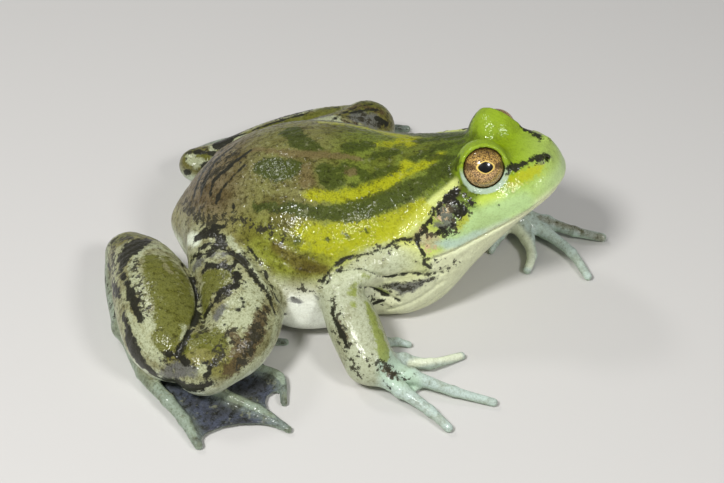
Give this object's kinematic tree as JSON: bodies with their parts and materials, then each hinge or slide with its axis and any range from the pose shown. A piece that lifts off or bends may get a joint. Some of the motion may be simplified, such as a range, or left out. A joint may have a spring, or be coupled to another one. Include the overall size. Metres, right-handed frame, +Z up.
{
  "type": "bullfrog",
  "caption": "Life-size frog at rest: stout wet body on its belly, hind legs folded, hands spread, head raised, eyes on top.",
  "frame": {"origin": "the flat underside of the belly, under the middle of the body, on the floor", "axes": "+X forward, towards the snout; +Y to the frog's left; +Z up"},
  "size_m": [0.1506, 0.1573, 0.0516],
  "materials": {
    "head_skin": "wet glossy skin, lime green with yellow patches",
    "throat_skin": "wet skin, cream with faint folds",
    "trunk_skin": "wet pebbled skin, olive with dark green spots and a yellow flank band",
    "eye": "wet glossy eye, golden brown iris with a dark pupil",
    "tympanum": "taut mottled skin of the ear drum",
    "arm_skin": "wet skin, cream grey with olive and brown blotches",
    "hand_skin": "wet skin, pale grey green",
    "finger_skin": "wet skin, pale mint",
    "leg_skin": "wet skin, olive and cream patches edged with black",
    "tarsus_skin": "wet skin, pale grey with black spots",
    "foot_skin": "wet slate blue web between pale mint toes"
  },
  "bodies": {
    "root": {"head": "head_skin", "lower_jaw": "throat_skin", "trunk": "trunk_skin", "eye_left": "eye", "tympanum_left": "tympanum", "upper_arm_left": "arm_skin", "forearm_left": "arm_skin", "hand_left": "hand_skin", "finger_1_left": "finger_skin", "finger_2_left": "finger_skin", "finger_3_left": "finger_skin", "finger_4_left": "finger_skin", "thigh_left": "leg_skin", "shank_left": "leg_skin", "tarsus_left": "tarsus_skin", "foot_left": "foot_skin", "eye_right": "eye", "tympanum_right": "tympanum", "upper_arm_right": "arm_skin", "forearm_right": "arm_skin", "hand_right": "hand_skin", "finger_1_right": "finger_skin", "finger_2_right": "finger_skin", "finger_3_right": "finger_skin", "finger_4_right": "finger_skin", "thigh_right": "leg_skin", "shank_right": "leg_skin", "tarsus_right": "tarsus_skin", "foot_right": "foot_skin"}
  },
  "joints": []
}
